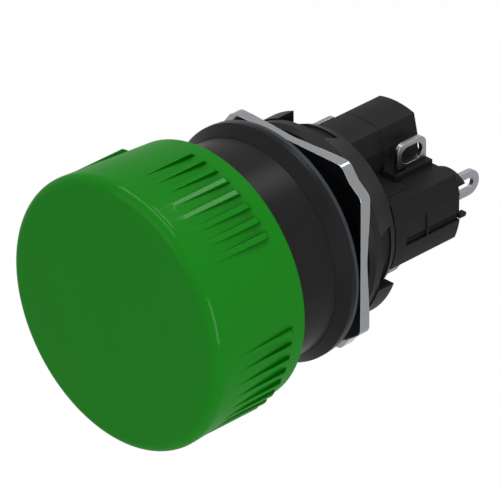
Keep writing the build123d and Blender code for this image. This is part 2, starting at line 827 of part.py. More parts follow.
# Contact slider: pushed by the plunger's tip, with a finger for the bridge on each side
slider_rear_y = chamber_front_y + slider_length
finger_end_y = chamber_front_y + finger_length
finger_x = (blade_x + tail_x) / 2
slider_half_x = blade_x - slider_play
bore_y = slider_rear_y - slider_bore_depth
with BuildPart() as contact_slider:
    with BuildSketch(at_y(tip_end_y)):
        Circle(nose_r)
    extrude(amount=-(chamber_front_y - tip_end_y))
    with BuildSketch(at_y(chamber_front_y)):
        Rectangle(2 * slider_half_x, 2 * slider_half_z)
    extrude(amount=-slider_length)
    with BuildSketch(at_y(chamber_front_y)):
        with PolarLocations(0, 2):
            with Locations((0, arm_z)):
                Rectangle(finger_x + finger_thick / 2, 2 * arm_half_z, align=(Align.MIN, Align.CENTER))
    extrude(amount=-arm_length)
    with BuildSketch(at_y(chamber_front_y)):
        with PolarLocations(0, 2):
            with Locations((finger_x, -finger_half_z)):
                Rectangle(
                    finger_thick,
                    finger_half_z + arm_z + arm_half_z,
                    align=(Align.CENTER, Align.MIN),
                )
    extrude(amount=-finger_length)
    with BuildSketch(at_y(bore_y)):
        Circle(slider_mean_r + slider_wire / 2 + run_gap / 2)
    extrude(amount=-slider_bore_depth, mode=Mode.SUBTRACT)
write("contact_slider", contact_slider.part)

# Contact bridges: sheet clips over the fingers, one side on the pads and one on the common strip
bridge_half_x = (tail_x - blade_x - blade_thick) / 2 - bridge_gap
with BuildPart() as contact_bridge_right:
    with BuildSketch(Plane.XY):
        with Locations((finger_x, finger_end_y + bridge_sheet)):
            Rectangle(2 * bridge_half_x, bridge_length, align=(Align.CENTER, Align.MAX))
        with Locations((finger_x, finger_end_y)):
            Rectangle(
                2 * (bridge_half_x - bridge_sheet),
                bridge_length,
                align=(Align.CENTER, Align.MAX),
                mode=Mode.SUBTRACT,
            )
    extrude(amount=finger_half_z, both=True)
write("contact_bridge_right", contact_bridge_right.part)
contact_bridge_left = half_turned(contact_bridge_right.part)
write("contact_bridge_left", contact_bridge_left)

# Slider spring: stands on the pin of the rear wall and sits in the slider's bore
slider_spring = coil(bore_y, chamber_rear_y, slider_wire, slider_mean_r, slider_turns)
write("slider_spring", slider_spring)
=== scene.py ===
import math

import bmesh
import bpy
from mathutils import Matrix, Vector


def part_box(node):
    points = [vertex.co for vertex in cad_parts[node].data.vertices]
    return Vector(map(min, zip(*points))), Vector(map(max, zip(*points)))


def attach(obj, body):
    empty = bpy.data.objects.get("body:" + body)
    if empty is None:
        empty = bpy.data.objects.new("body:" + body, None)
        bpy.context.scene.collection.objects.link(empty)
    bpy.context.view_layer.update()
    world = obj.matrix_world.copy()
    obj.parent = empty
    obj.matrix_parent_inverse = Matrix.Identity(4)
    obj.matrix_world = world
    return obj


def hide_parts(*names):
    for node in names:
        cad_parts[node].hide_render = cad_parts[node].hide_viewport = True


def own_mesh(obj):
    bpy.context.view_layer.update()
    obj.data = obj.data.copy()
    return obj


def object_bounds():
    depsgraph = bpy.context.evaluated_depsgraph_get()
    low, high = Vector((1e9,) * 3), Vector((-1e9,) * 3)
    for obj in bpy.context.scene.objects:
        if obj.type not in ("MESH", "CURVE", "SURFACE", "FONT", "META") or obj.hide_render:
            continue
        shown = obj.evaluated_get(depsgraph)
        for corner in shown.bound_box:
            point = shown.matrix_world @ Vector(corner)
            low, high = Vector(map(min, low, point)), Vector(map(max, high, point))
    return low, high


bl_info = {
    "name": "Mushroom push button look",
    "version": (1, 0, 0),
    "blender": (4, 5, 0),
    "location": "View3D > Sidebar > Push button",
    "description": "Finishes, fine pieces and studio for a panel push button with a mushroom cap",
    "category": "Object",
}

# The CAD frame, its box and the places that the fine pieces start from, in metres
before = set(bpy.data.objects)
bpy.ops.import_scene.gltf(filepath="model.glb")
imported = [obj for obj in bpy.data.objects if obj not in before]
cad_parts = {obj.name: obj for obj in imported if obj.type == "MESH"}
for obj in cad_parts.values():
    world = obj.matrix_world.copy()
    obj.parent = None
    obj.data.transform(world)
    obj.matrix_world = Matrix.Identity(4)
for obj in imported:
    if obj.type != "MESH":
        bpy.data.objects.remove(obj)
CAD_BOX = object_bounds()
FLANGE_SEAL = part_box("flange_seal")
CLAMP_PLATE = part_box("clamp_plate")

SIDE_TERMINALS = (
    "terminal_no_right",
    "terminal_no_left",
    "terminal_nc_left",
    "terminal_nc_right",
)
REAR_TERMINALS = ("terminal_common_right", "terminal_common_left")

# The drawn coils and the CAD nodes that they stand for, each with its rear end on a fixed seat
SPRINGS = {"pressed_return_coil": "return_spring", "pressed_slider_coil": "slider_spring"}

# Vertices closer than this, in metres, are merged
MERGE_DISTANCE = 1e-7

# What all finishes share: the noise of the grain and of the clouds, how far the roughness varies,
# and the depth of the grain in metres
GRAIN_DETAIL = 3.0
GRAIN_ROUGHNESS = 0.6
CLOUD_DETAIL = 4.0
CLOUD_LOW = 0.3
CLOUD_HIGH = 0.7
ROUGHNESS_SPREAD = 0.12
GRAIN_DEPTH = 0.00002

# Edges: the cosine between softened and true normal on a flat face, and where the painted
# highlight is full
EDGE_SAMPLES = 6
FLAT_COSINE = 0.995
EDGE_COSINE = 0.8

# Painted shade in creases: how far they reach in metres, how open a face is without one and in a
# full one, and the share of the colour that is left there
CREASE_SAMPLES = 8
CREASE_WIDTH = 0.0008
OPEN_FACE = 1.0
FULL_CREASE = 0.4
PAINTED_SHADE_TONE = 0.2

# Painted edge highlights: how much lighter edges are than the colour, and what is added to the
# cap's
CAP_HIGHLIGHT_GAIN = 1.25
CAP_HIGHLIGHT_LIFT = 0.004
PLASTIC_HIGHLIGHT_GAIN = 2.2
RUBBER_HIGHLIGHT_GAIN = 1.4

# The black mouldings: the roughness of each as a share of the plastic's, the nut's lighter
# colour, and the mirror reflection that is left beside their gloss
HOUSING_ROUGHNESS = 0.8
NUT_ROUGHNESS = 1.05
ELEMENT_ROUGHNESS = 1.1
NUT_GAIN = 1.25
PLASTIC_SPECULAR = 0.01

# The thread's profile and run, as shares of its pitch or height
THREAD_START = 0.4
THREAD_RUN_OUT = 0.6
THREAD_FOOT_HALF = 0.36
THREAD_CREST_HALF = 0.07
THREAD_SINK = 0.2
THREAD_STEPS_PER_TURN = 96

# The lamps: place, width and height in metres, and power in watts
LAMPS = {
    "rear_lamp": ((-0.008, 0.33, 0.5), 0.2, 0.1, 0.6),
    "top_lamp": ((-0.09, 0.008, 0.6), 0.15, 0.64, 1.95),
    "right_lamp": ((0.22, -0.075, 0.016), 0.075, 0.135, 0.2),
    "front_lamp": ((-0.2, -0.6, 0.25), 0.5, 0.5, 0.95),
}

# The floor's half width in metres, its tone as seen and as a source of bounced light, its
# roughness, and the share of plain white that the camera sees in it
FLOOR_HALF = 3.0
FLOOR_TONE = 0.95
FLOOR_BOUNCE = 0.7
FLOOR_ROUGHNESS = 0.9
FLOOR_WHITE = 0.86

# The tone of the surroundings as a source of light
WORLD_TONE = 0.4

# The camera's sensor in millimetres, and its clipping distances in metres
SENSOR_WIDTH = 36.0
CLIP_START = 0.01
CLIP_END = 20.0


# Sizes and colours that a user may change

class CapSettings(bpy.types.PropertyGroup):
    colour: bpy.props.FloatVectorProperty(
        name="Cap colour",
        description="Colour moulded into the mushroom cap",
        subtype="COLOR",
        size=4,
        min=0.0,
        max=1.0,
        default=(0.006, 0.2, 0.006, 1.0),
    )
    roughness: bpy.props.FloatProperty(
        name="Cap roughness",
        description="How dull the cap's polished surface is",
        subtype="FACTOR",
        min=0.0,
        max=1.0,
        default=0.12,
    )
    gloss: bpy.props.FloatProperty(
        name="Cap gloss",
        description="Strength of the polish on the cap",
        subtype="FACTOR",
        min=0.0,
        max=1.0,
        default=0.17,
    )
    flow_angle: bpy.props.FloatProperty(
        name="Flowing edges",
        description="Edges of the cap that turn by less than this are drawn as one smooth surface",
        subtype="ANGLE",
        min=0.0,
        default=math.radians(9.0),
    )


class PlasticSettings(bpy.types.PropertyGroup):
    colour: bpy.props.FloatVectorProperty(
        name="Black plastic",
        description="Colour of the housing, the nut and the switch element",
        subtype="COLOR",
        size=4,
        min=0.0,
        max=1.0,
        default=(0.0125, 0.0125, 0.013, 1.0),
    )
    roughness: bpy.props.FloatProperty(
        name="Plastic roughness",
        description="How dull the black mouldings are",
        subtype="FACTOR",
        min=0.0,
        max=1.0,
        default=0.4,
    )
    gloss: bpy.props.FloatProperty(
        name="Plastic gloss",
        description="Strength of the sheen on the black mouldings",
        subtype="FACTOR",
        min=0.0,
        max=1.0,
        default=0.17,
    )
    edge_radius: bpy.props.FloatProperty(
        name="Edge radius",
        description="How far the light rolls round the edges of a moulding",
        subtype="DISTANCE",
        unit="LENGTH",
        min=0.0,
        default=0.00009,
    )
    rubber_colour: bpy.props.FloatVectorProperty(
        name="Flange seal",
        description="Colour of the rubber ring under the flange",
        subtype="COLOR",
        size=4,
        min=0.0,
        max=1.0,
        default=(0.032, 0.04, 0.051, 1.0),
    )


class MetalSettings(bpy.types.PropertyGroup):
    plate_colour: bpy.props.FloatVectorProperty(
        name="Plated steel",
        description="Colour of the clamp plate",
        subtype="COLOR",
        size=4,
        min=0.0,
        max=1.0,
        default=(0.27, 0.275, 0.285, 1.0),
    )
    terminal_colour: bpy.props.FloatVectorProperty(
        name="Terminal plating",
        description="Colour of the four blades at the sides of the element",
        subtype="COLOR",
        size=4,
        min=0.0,
        max=1.0,
        default=(0.27, 0.272, 0.277, 1.0),
    )
    tail_colour: bpy.props.FloatVectorProperty(
        name="Rear terminal plating",
        description="Colour of the two matt blades behind the element",
        subtype="COLOR",
        size=4,
        min=0.0,
        max=1.0,
        default=(0.31, 0.3, 0.33, 1.0),
    )


class ThreadSettings(bpy.types.PropertyGroup):
    pitch: bpy.props.FloatProperty(
        name="Thread pitch",
        description="Advance of the barrel's thread in one turn",
        subtype="DISTANCE",
        unit="LENGTH",
        min=0.0003,
        default=0.001,
    )
    height: bpy.props.FloatProperty(
        name="Thread height",
        description="How far the thread stands out of the barrel",
        subtype="DISTANCE",
        unit="LENGTH",
        min=0.00002,
        max=0.0003,
        default=0.0001,
    )
    radius: bpy.props.FloatProperty(
        name="Barrel radius",
        description="Radius of the barrel that carries the thread",
        subtype="DISTANCE",
        unit="LENGTH",
        default=0.0079,
    )


class StudioSettings(bpy.types.PropertyGroup):
    azimuth: bpy.props.FloatProperty(
        name="Camera azimuth",
        description="Angle of the camera round the object",
        subtype="ANGLE",
        default=math.radians(45.477),
    )
    elevation: bpy.props.FloatProperty(
        name="Camera elevation",
        description="Angle of the camera above the horizon",
        subtype="ANGLE",
        default=math.radians(29.955),
    )
    roll: bpy.props.FloatProperty(
        name="Camera roll",
        description="Turn of the camera about its own line of sight",
        subtype="ANGLE",
        default=math.radians(-0.2456),
    )
    distance: bpy.props.FloatProperty(
        name="Camera distance",
        description="Distance of the camera from the plane through the object's origin",
        subtype="DISTANCE",
        unit="LENGTH",
        default=0.75079,
    )
    lens: bpy.props.FloatProperty(
        name="Focal length",
        description="Focal length in millimetres on a sensor 36 mm wide",
        default=540.57,
    )
    origin_right: bpy.props.FloatProperty(
        name="Origin to the right",
        description="The object's origin right of the picture's middle, as a share of its width",
        default=0.03649,
    )
    origin_up: bpy.props.FloatProperty(
        name="Origin upwards",
        description="The object's origin above the picture's middle, as a share of its height",
        default=0.020816,
    )
    floor_drop: bpy.props.FloatProperty(
        name="Floor drop",
        description="Depth of the floor below the object's lowest point",
        subtype="DISTANCE",
        unit="LENGTH",
        default=0.045,
    )
    light_level: bpy.props.FloatProperty(
        name="Light level",
        description="Factor on the power of every lamp",
        min=0.0,
        default=1.0,
    )


# Shared effects

def new_group(name, inputs, outputs):
    """An empty node group with named sockets: returns (group, nodes, links, entry, leave)."""
    group = bpy.data.node_groups.new(name, "ShaderNodeTree")
    for socket in inputs:
        group.interface.new_socket(name=socket, in_out="INPUT", socket_type="NodeSocketFloat")
    for socket, kind in outputs.items():
        group.interface.new_socket(name=socket, in_out="OUTPUT", socket_type=kind)
    nodes = group.nodes
    entry = nodes.new("NodeGroupInput")
    leave = nodes.new("NodeGroupOutput")
    return group, nodes, group.links, entry, leave


def grain_group():
    """A fine moulded or rolled surface: small grain for the bump, wide clouds for the sheen."""
    group = bpy.data.node_groups.get("surface_grain")
    if group:
        return group
    group, nodes, links, entry, leave = new_group(
        "surface_grain",
        ("Grain scale", "Cloud scale", "Low", "High"),
        {
            "Height": "NodeSocketFloat",
            "Clouds": "NodeSocketFloat",
            "Roughness": "NodeSocketFloat",
        },
    )
    place = nodes.new("ShaderNodeTexCoord")
    grain = nodes.new("ShaderNodeTexNoise")
    grain.inputs["Detail"].default_value = GRAIN_DETAIL
    grain.inputs["Roughness"].default_value = GRAIN_ROUGHNESS
    clouds = nodes.new("ShaderNodeTexNoise")
    clouds.inputs["Detail"].default_value = CLOUD_DETAIL
    spread = nodes.new("ShaderNodeMapRange")
    spread.inputs["From Min"].default_value = CLOUD_LOW
    spread.inputs["From Max"].default_value = CLOUD_HIGH
    links.new(place.outputs["Object"], grain.inputs["Vector"])
    links.new(place.outputs["Object"], clouds.inputs["Vector"])
    links.new(entry.outputs["Grain scale"], grain.inputs["Scale"])
    links.new(entry.outputs["Cloud scale"], clouds.inputs["Scale"])
    links.new(clouds.outputs["Fac"], spread.inputs["Value"])
    links.new(entry.outputs["Low"], spread.inputs["To Min"])
    links.new(entry.outputs["High"], spread.inputs["To Max"])
    links.new(grain.outputs["Fac"], leave.inputs["Height"])
    links.new(clouds.outputs["Fac"], leave.inputs["Clouds"])
    links.new(spread.outputs["Result"], leave.inputs["Roughness"])
    return group


def edge_group():
    """Edges that the light rolls round: a softened normal, and a mask that is 1 on an edge."""
    group = bpy.data.node_groups.get("soft_edges")
    if group:
        return group
    group, nodes, links, entry, leave = new_group(
        "soft_edges",
        ("Radius",),
        {"Normal": "NodeSocketVector", "Edge": "NodeSocketFloat"},
    )
    roll = nodes.new("ShaderNodeBevel")
    roll.samples = EDGE_SAMPLES
    surface = nodes.new("ShaderNodeNewGeometry")
    turn = nodes.new("ShaderNodeVectorMath")
    turn.operation = "DOT_PRODUCT"
    mask = nodes.new("ShaderNodeMapRange")
    mask.inputs["From Min"].default_value = FLAT_COSINE
    mask.inputs["From Max"].default_value = EDGE_COSINE
    links.new(entry.outputs["Radius"], roll.inputs["Radius"])
    links.new(roll.outputs["Normal"], turn.inputs[0])
    links.new(surface.outputs["Normal"], turn.inputs[1])
    links.new(turn.outputs["Value"], mask.inputs["Value"])
    links.new(roll.outputs["Normal"], leave.inputs["Normal"])
    links.new(mask.outputs["Result"], leave.inputs["Edge"])
    return group


def crease_group():
    """Creases the light reaches less: a mask that is 1 deep between neighbouring faces, for
    painted shade.
    """
    group = bpy.data.node_groups.get("shaded_creases")
    if group:
        return group
    group, nodes, links, entry, leave = new_group(
        "shaded_creases",
        ("Distance",),
        {"Crease": "NodeSocketFloat"},
    )
    reach = nodes.new("ShaderNodeAmbientOcclusion")
    reach.samples = CREASE_SAMPLES
    mask = nodes.new("ShaderNodeMapRange")
    mask.inputs["From Min"].default_value = OPEN_FACE
    mask.inputs["From Max"].default_value = FULL_CREASE
    links.new(entry.outputs["Distance"], reach.inputs["Distance"])
    links.new(reach.outputs["AO"], mask.inputs["Value"])
    links.new(mask.outputs["Result"], leave.inputs["Crease"])
    return group


def new_material(name):
    """An empty node material with its shader: returns (material, nodes, links, shader)."""
    material = bpy.data.materials.new(name)
    material.use_nodes = True
    nodes = material.node_tree.nodes
    return material, nodes, material.node_tree.links, nodes["Principled BSDF"]


def tinted(colour, gain, lift=0.0):
    """A colour made lighter or darker, with full alpha."""
    return tuple(min(1.0, channel * gain + lift) for channel in colour[:3]) + (1.0,)


def scaled_mask(nodes, links, mask, share):
    """A mask times a share."""
    product = nodes.new("ShaderNodeMath")
    product.operation = "MULTIPLY"
    product.inputs[1].default_value = share
    links.new(mask, product.inputs[0])
    return product.outputs["Value"]


def colour_mix(nodes, links, mask, second):
    """A colour mix that goes to its second colour where the mask is 1."""
    mix = nodes.new("ShaderNodeMix")
    mix.data_type = "RGBA"
    mix.inputs["B"].default_value = second
    links.new(mask, mix.inputs["Factor"])
    return mix


def surface_material(
    name,
    colour,
    edge_highlight_colour,
    roughness,
    grain_scale,
    cloud_scale,
    bump,
    edge_radius,
    metallic=0.0,
    edge_mix=0.5,
    cloud_mix=0.3,
    specular=0.5,
    gloss=0.0,
    painted_crease_shade=0.0,
):
    """A plastic, rubber or metal finish: grain, cloudy sheen, painted edge highlights and painted
    crease shade.
    """
    material, nodes, links, shader = new_material(name)
    grain = nodes.new("ShaderNodeGroup")
    grain.node_tree = grain_group()
    grain.inputs["Grain scale"].default_value = grain_scale
    grain.inputs["Cloud scale"].default_value = cloud_scale
    grain.inputs["Low"].default_value = roughness * (1.0 - ROUGHNESS_SPREAD)
    grain.inputs["High"].default_value = min(1.0, roughness * (1.0 + ROUGHNESS_SPREAD))
    edges = nodes.new("ShaderNodeGroup")
    edges.node_tree = edge_group()
    edges.inputs["Radius"].default_value = edge_radius
    depth = nodes.new("ShaderNodeGroup")
    depth.node_tree = crease_group()
    depth.inputs["Distance"].default_value = CREASE_WIDTH

    tint = colour_mix(nodes, links, grain.outputs["Clouds"], tinted(colour, 1.0 - cloud_mix))
    tint.inputs["A"].default_value = colour
    # Painted highlight: the colour is made lighter along edges, where light rolls round them
    painted_highlight_mask = scaled_mask(nodes, links, edges.outputs["Edge"], edge_mix)
    painted_highlight = colour_mix(nodes, links, painted_highlight_mask, edge_highlight_colour)
    links.new(tint.outputs["Result"], painted_highlight.inputs["A"])
    # Painted shade: the colour is darkened in creases, where less light reaches
    painted_shade_mask = scaled_mask(nodes, links, depth.outputs["Crease"], painted_crease_shade)
    painted_shade = colour_mix(nodes, links, painted_shade_mask, tinted(colour, PAINTED_SHADE_TONE))
    links.new(painted_highlight.outputs["Result"], painted_shade.inputs["A"])
    links.new(painted_shade.outputs["Result"], shader.inputs["Base Color"])

    relief = nodes.new("ShaderNodeBump")
    relief.inputs["Strength"].default_value = bump
    relief.inputs["Distance"].default_value = GRAIN_DEPTH
    links.new(grain.outputs["Height"], relief.inputs["Height"])
    links.new(edges.outputs["Normal"], relief.inputs["Normal"])
    links.new(relief.outputs["Normal"], shader.inputs["Normal"])
    links.new(grain.outputs["Roughness"], shader.inputs["Roughness"])
    shader.inputs["Metallic"].default_value = metallic
    shader.inputs["Specular IOR Level"].default_value = specular
    shader.inputs["Coat Weight"].default_value = gloss
    shader.inputs["Coat Roughness"].default_value = roughness
    return material


def paint(material, *names):
    """Gives CAD nodes a finish through their material slots."""
    for name in names:
        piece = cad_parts[name]
        if not piece.material_slots:
            piece.data.materials.append(material)
        for place in piece.material_slots:
            place.material = material


def merged_copy(node):
    """A bmesh copy of a CAD node's mesh, merged and with smooth faces."""
    copy = bmesh.new()
    copy.from_mesh(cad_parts[node].data)
    bmesh.ops.remove_doubles(copy, verts=copy.verts[:], dist=MERGE_DISTANCE)
    for face in copy.faces:
        face.smooth = True
    return copy


def new_piece(name, mesh_of, material, body):
    """A finished fine piece from a bmesh: it rides on a body and takes a material slot."""
    mesh = bpy.data.meshes.new(name)
    mesh_of.to_mesh(mesh)
    mesh_of.free()
    if "custom_normal" in mesh.attributes:
        mesh.attributes.remove(mesh.attributes["custom_normal"])
    if not mesh.polygons:
        raise RuntimeError(name + " came out empty")
    piece = bpy.data.objects.new(name, mesh)
    bpy.context.scene.collection.objects.link(piece)
    mesh.materials.append(material)
    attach(piece, body)
    return piece


# Pieces and finishes

class BUTTON_OT_finish_cap(bpy.types.Operator):
    """The ribbed mushroom cap in polished green plastic, with its face as one smooth surface"""

    bl_idname = "button.finish_cap"
    bl_label = "Finish cap"

    def execute(self, context):
        cap = context.scene.button_cap
        colour = tuple(cap.colour)
        material = surface_material(
            "polished_green",
            colour,
            # Painted highlight along the edges
            edge_highlight_colour=tinted(colour, CAP_HIGHLIGHT_GAIN, lift=CAP_HIGHLIGHT_LIFT),
            roughness=cap.roughness,
            grain_scale=9000.0,
            cloud_scale=120.0,
            bump=0.05,
            edge_radius=0.00012,
            edge_mix=0.6,
            cloud_mix=0.06,
            specular=0.0,
            gloss=cap.gloss,
            # Painted shade in the gaps between the ribs
            painted_crease_shade=0.6,
        )
        shell = merged_copy("mushroom_cap")
        for edge in shell.edges:
            edge.smooth = edge.calc_face_angle(0.0) < cap.flow_angle
        piece = new_piece("ribbed_cap", shell, material, "button")
        flow = piece.modifiers.new("even_flow", "WEIGHTED_NORMAL")
        flow.mode = "FACE_AREA"
        flow.weight = 50
        flow.keep_sharp = True
        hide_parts("mushroom_cap")
        return {"FINISHED"}


class BUTTON_OT_finish_mouldings(bpy.types.Operator):
    """Satin black plastic on the housing, the nut and the switch element"""

    bl_idname = "button.finish_mouldings"
    bl_label = "Finish mouldings"

    def execute(self, context):
        plastic = context.scene.button_plastic
        colour = tuple(plastic.colour)
        shared = {
            # Painted highlight along the edges
            "edge_highlight_colour": tinted(colour, PLASTIC_HIGHLIGHT_GAIN),
            "edge_radius": plastic.edge_radius,
            "specular": PLASTIC_SPECULAR,
            "gloss": plastic.gloss,
        }
        housing = surface_material(
            "satin_black",
            colour,
            roughness=plastic.roughness * HOUSING_ROUGHNESS,
            grain_scale=7000.0,
            cloud_scale=200.0,
            bump=0.12,
            **shared,
        )
        paint(housing, "front_housing", "plunger", "cap_carrier")
        nut = surface_material(
            "nut_black",
            tinted(colour, NUT_GAIN),
            roughness=plastic.roughness * NUT_ROUGHNESS,
            grain_scale=8000.0,
            cloud_scale=260.0,
            bump=0.12,
            **shared,
        )
        paint(nut, "fixing_nut", "nut_washer")
        element = surface_material(
            "element_black",
            colour,
            roughness=plastic.roughness * ELEMENT_ROUGHNESS,
            grain_scale=8500.0,
            cloud_scale=300.0,
            bump=0.15,
            **shared,
        )
        paint(element, "element_front_housing", "element_rear_housing")
        slider = surface_material(
            "slider_ivory",
            (0.5, 0.47, 0.4, 1.0),
            # Painted highlight along the edges
            edge_highlight_colour=(0.6, 0.58, 0.52, 1.0),
            roughness=0.5,
            grain_scale=7000.0,
            cloud_scale=300.0,
            bump=0.1,
            edge_radius=plastic.edge_radius,
        )
        paint(slider, "contact_slider")
        return {"FINISHED"}


class BUTTON_OT_finish_seals(bpy.types.Operator):
    """Rubber on the flange seal and the stem seal"""

    bl_idname = "button.finish_seals"
    bl_label = "Finish seals"

    def execute(self, context):
        colour = tuple(context.scene.button_plastic.rubber_colour)
        shared = {"grain_scale": 6000.0, "cloud_scale": 300.0, "bump": 0.2, "edge_radius": 0.00006}
        flange = surface_material(
            "blue_grey_rubber",
            colour,
            # Painted highlight along the edges
            edge_highlight_colour=tinted(colour, RUBBER_HIGHLIGHT_GAIN),
            roughness=0.55,
            cloud_mix=0.15,
            specular=0.15,
            **shared,
        )
        paint(flange, "flange_seal")
        stem = surface_material(
            "black_rubber",
            (0.02, 0.02, 0.02, 1.0),
            # Painted highlight along the edges
            edge_highlight_colour=(0.04, 0.04, 0.04, 1.0),
            roughness=0.6,
            **shared,
        )
        paint(stem, "stem_seal")
        return {"FINISHED"}


class BUTTON_OT_finish_metals(bpy.types.Operator):
    """Bright plate, silvered terminals, brass contacts and drawn spring wire"""

    bl_idname = "button.finish_metals"
    bl_label = "Finish metals"

    def execute(self, context):
        metal = context.scene.button_metal
        plate = surface_material(
            "bright_plate",
            tuple(metal.plate_colour),
            # Painted highlight along the edges
            edge_highlight_colour=(0.6, 0.6, 0.6, 1.0),
            roughness=0.1,
            grain_scale=5000.0,
            cloud_scale=400.0,
            bump=0.05,
            edge_radius=0.00012,
            metallic=1.0,
            cloud_mix=0.08,
        )
        paint(plate, "clamp_plate")
        blade = surface_material(
            "silvered_blade",
            tuple(metal.terminal_colour),
            # Painted highlight along the edges
            edge_highlight_colour=(0.45, 0.45, 0.45, 1.0),
            roughness=0.24,
            grain_scale=6000.0,
            cloud_scale=700.0,
            bump=0.08,
            edge_radius=0.00008,
            metallic=1.0,
            cloud_mix=0.12,
        )
        paint(blade, *SIDE_TERMINALS)
        tail = surface_material(
            "matt_blade",
            tuple(metal.tail_colour),
            # Painted highlight along the edges
            edge_highlight_colour=(0.5, 0.5, 0.53, 1.0),
            roughness=0.45,
            grain_scale=6000.0,
            cloud_scale=700.0,
            bump=0.08,
            edge_radius=0.00008,
            metallic=1.0,
            cloud_mix=0.08,
        )
        paint(tail, *REAR_TERMINALS)
        wire = surface_material(
            "drawn_wire",
            (0.55, 0.55, 0.55, 1.0),
            # Painted highlight along the edges
            edge_highlight_colour=(0.8, 0.8, 0.8, 1.0),
            roughness=0.3,
            grain_scale=9000.0,
            cloud_scale=900.0,
            bump=0.05,
            edge_radius=0.00004,
            metallic=1.0,
        )
        paint(wire, "return_spring", "slider_spring", "plunger_clip")
        contact = surface_material(
            "contact_brass",
            (0.75, 0.6, 0.32, 1.0),
            # Painted highlight along the edges
            edge_highlight_colour=(0.9, 0.8, 0.55, 1.0),
            roughness=0.25,
            grain_scale=9000.0,
            cloud_scale=900.0,
            bump=0.05,
            edge_radius=0.00003,
            metallic=1.0,
        )
        paint(contact, "contact_bridge_right", "contact_bridge_left")
        return {"FINISHED"}


class BUTTON_OT_fit_springs(bpy.types.Operator):
    """The two coil springs, as merged copies of their CAD nodes"""

    bl_idname = "button.fit_springs"
    bl_label = "Fit springs"

    def execute(self, context):
        wire = bpy.data.materials["drawn_wire"]
        for name, node in SPRINGS.items():
            piece = new_piece(name, merged_copy(node), wire, "housing")
            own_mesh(piece)
            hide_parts(node)
        return {"FINISHED"}


class BUTTON_OT_cut_thread(bpy.types.Operator):
    """A fine thread on the barrel, between the flange seal and the clamp plate"""

    bl_idname = "button.cut_thread"
    bl_label = "Cut thread"

    def execute(self, context):
        thread = context.scene.button_thread
        front = FLANGE_SEAL[1][1]
        rear = CLAMP_PLATE[0][1]
        turns = (rear - front) / thread.pitch - THREAD_RUN_OUT
        root = thread.radius - thread.height * THREAD_SINK
        crest = thread.radius + thread.height
        foot = thread.pitch * THREAD_FOOT_HALF
        tip = thread.pitch * THREAD_CREST_HALF
        start = front + thread.pitch * THREAD_START
        ridge = bmesh.new()
        corners = [
            ridge.verts.new((root, start - foot, 0.0)),
            ridge.verts.new((crest, start - tip, 0.0)),
            ridge.verts.new((crest, start + tip, 0.0)),
            ridge.verts.new((root, start + foot, 0.0)),
        ]
        for near, far in zip(corners, corners[1:]):
            ridge.edges.new((near, far))
        steps = int(turns * THREAD_STEPS_PER_TURN)
        bmesh.ops.spin(
            ridge,
            geom=ridge.verts[:] + ridge.edges[:],
            cent=(0.0, 0.0, 0.0),
            axis=(0.0, 1.0, 0.0),
            dvec=(0.0, turns * thread.pitch / steps, 0.0),
            angle=turns * 2 * math.pi,
            steps=steps,
            use_duplicate=False,
        )
        bmesh.ops.remove_doubles(ridge, verts=ridge.verts[:], dist=MERGE_DISTANCE)
        bmesh.ops.recalc_face_normals(ridge, faces=ridge.faces[:])
        for face in ridge.faces:
            face.smooth = True
        plastic = bpy.data.materials["satin_black"]
        new_piece("barrel_thread", ridge, plastic, "housing")
        return {"FINISHED"}


# Studio

def camera_axes(azimuth, elevation, roll):
    """The camera's right, up and forward directions."""
    forward = Vector((
        -math.sin(azimuth) * math.cos(elevation),
        math.cos(azimuth) * math.cos(elevation),
        -math.sin(elevation),
    ))
    level = Vector((math.cos(azimuth), math.sin(azimuth), 0.0))
    upright = level.cross(forward)
    right = math.cos(roll) * level + math.sin(roll) * upright
    up = -math.sin(roll) * level + math.cos(roll) * upright
    return right, up, forward


def area_lamp(name, place, width, height, power):
    """A soft white rectangular lamp that points at the object."""
    data = bpy.data.lights.new(name, "AREA")
    data.shape = "RECTANGLE"
    data.size = width
    data.size_y = height
    data.energy = power
    lamp = bpy.data.objects.new(name, data)
    lamp.location = place
    lamp.rotation_euler = (-Vector(place)).to_track_quat("-Z", "Y").to_euler()
    bpy.context.scene.collection.objects.link(lamp)


def grey(tone):
    """A grey of a given tone, with full alpha."""
    return (tone, tone, tone, 1.0)


def pale_floor_material():
    """A floor that is close to white for the camera and keeps a soft shadow."""
    material, nodes, links, shader = new_material("pale_floor")
    shader.inputs["Roughness"].default_value = FLOOR_ROUGHNESS
    path = nodes.new("ShaderNodeLightPath")
    tone = colour_mix(nodes, links, path.outputs["Is Diffuse Ray"], grey(FLOOR_BOUNCE))
    tone.inputs["A"].default_value = grey(FLOOR_TONE)
    glow = nodes.new("ShaderNodeEmission")
    glow.inputs["Color"].default_value = grey(1.0)
    share = scaled_mask(nodes, links, path.outputs["Is Camera Ray"], FLOOR_WHITE)
    seen = nodes.new("ShaderNodeMath")
    seen.operation = "MAXIMUM"
    blend = nodes.new("ShaderNodeMixShader")
    links.new(tone.outputs["Result"], shader.inputs["Base Color"])
    links.new(share, seen.inputs[0])
    links.new(path.outputs["Is Glossy Ray"], seen.inputs[1])
    links.new(seen.outputs["Value"], blend.inputs["Fac"])
    links.new(shader.outputs["BSDF"], blend.inputs[1])
    links.new(glow.outputs["Emission"], blend.inputs[2])
    links.new(blend.outputs["Shader"], nodes["Material Output"].inputs["Surface"])
    return material


def lay_floor(drop):
    """The floor, at a depth below the object's lowest point."""
    sheet = bmesh.new()
    bmesh.ops.create_grid(sheet, x_segments=1, y_segments=1, size=FLOOR_HALF)
    bmesh.ops.translate(sheet, verts=sheet.verts[:], vec=(0.0, 0.0, CAD_BOX[0][2] - drop))
    mesh = bpy.data.meshes.new("studio_floor")
    sheet.to_mesh(mesh)
    sheet.free()
    floor = bpy.data.objects.new("studio_floor", mesh)
    mesh.materials.append(pale_floor_material())
    bpy.context.scene.collection.objects.link(floor)


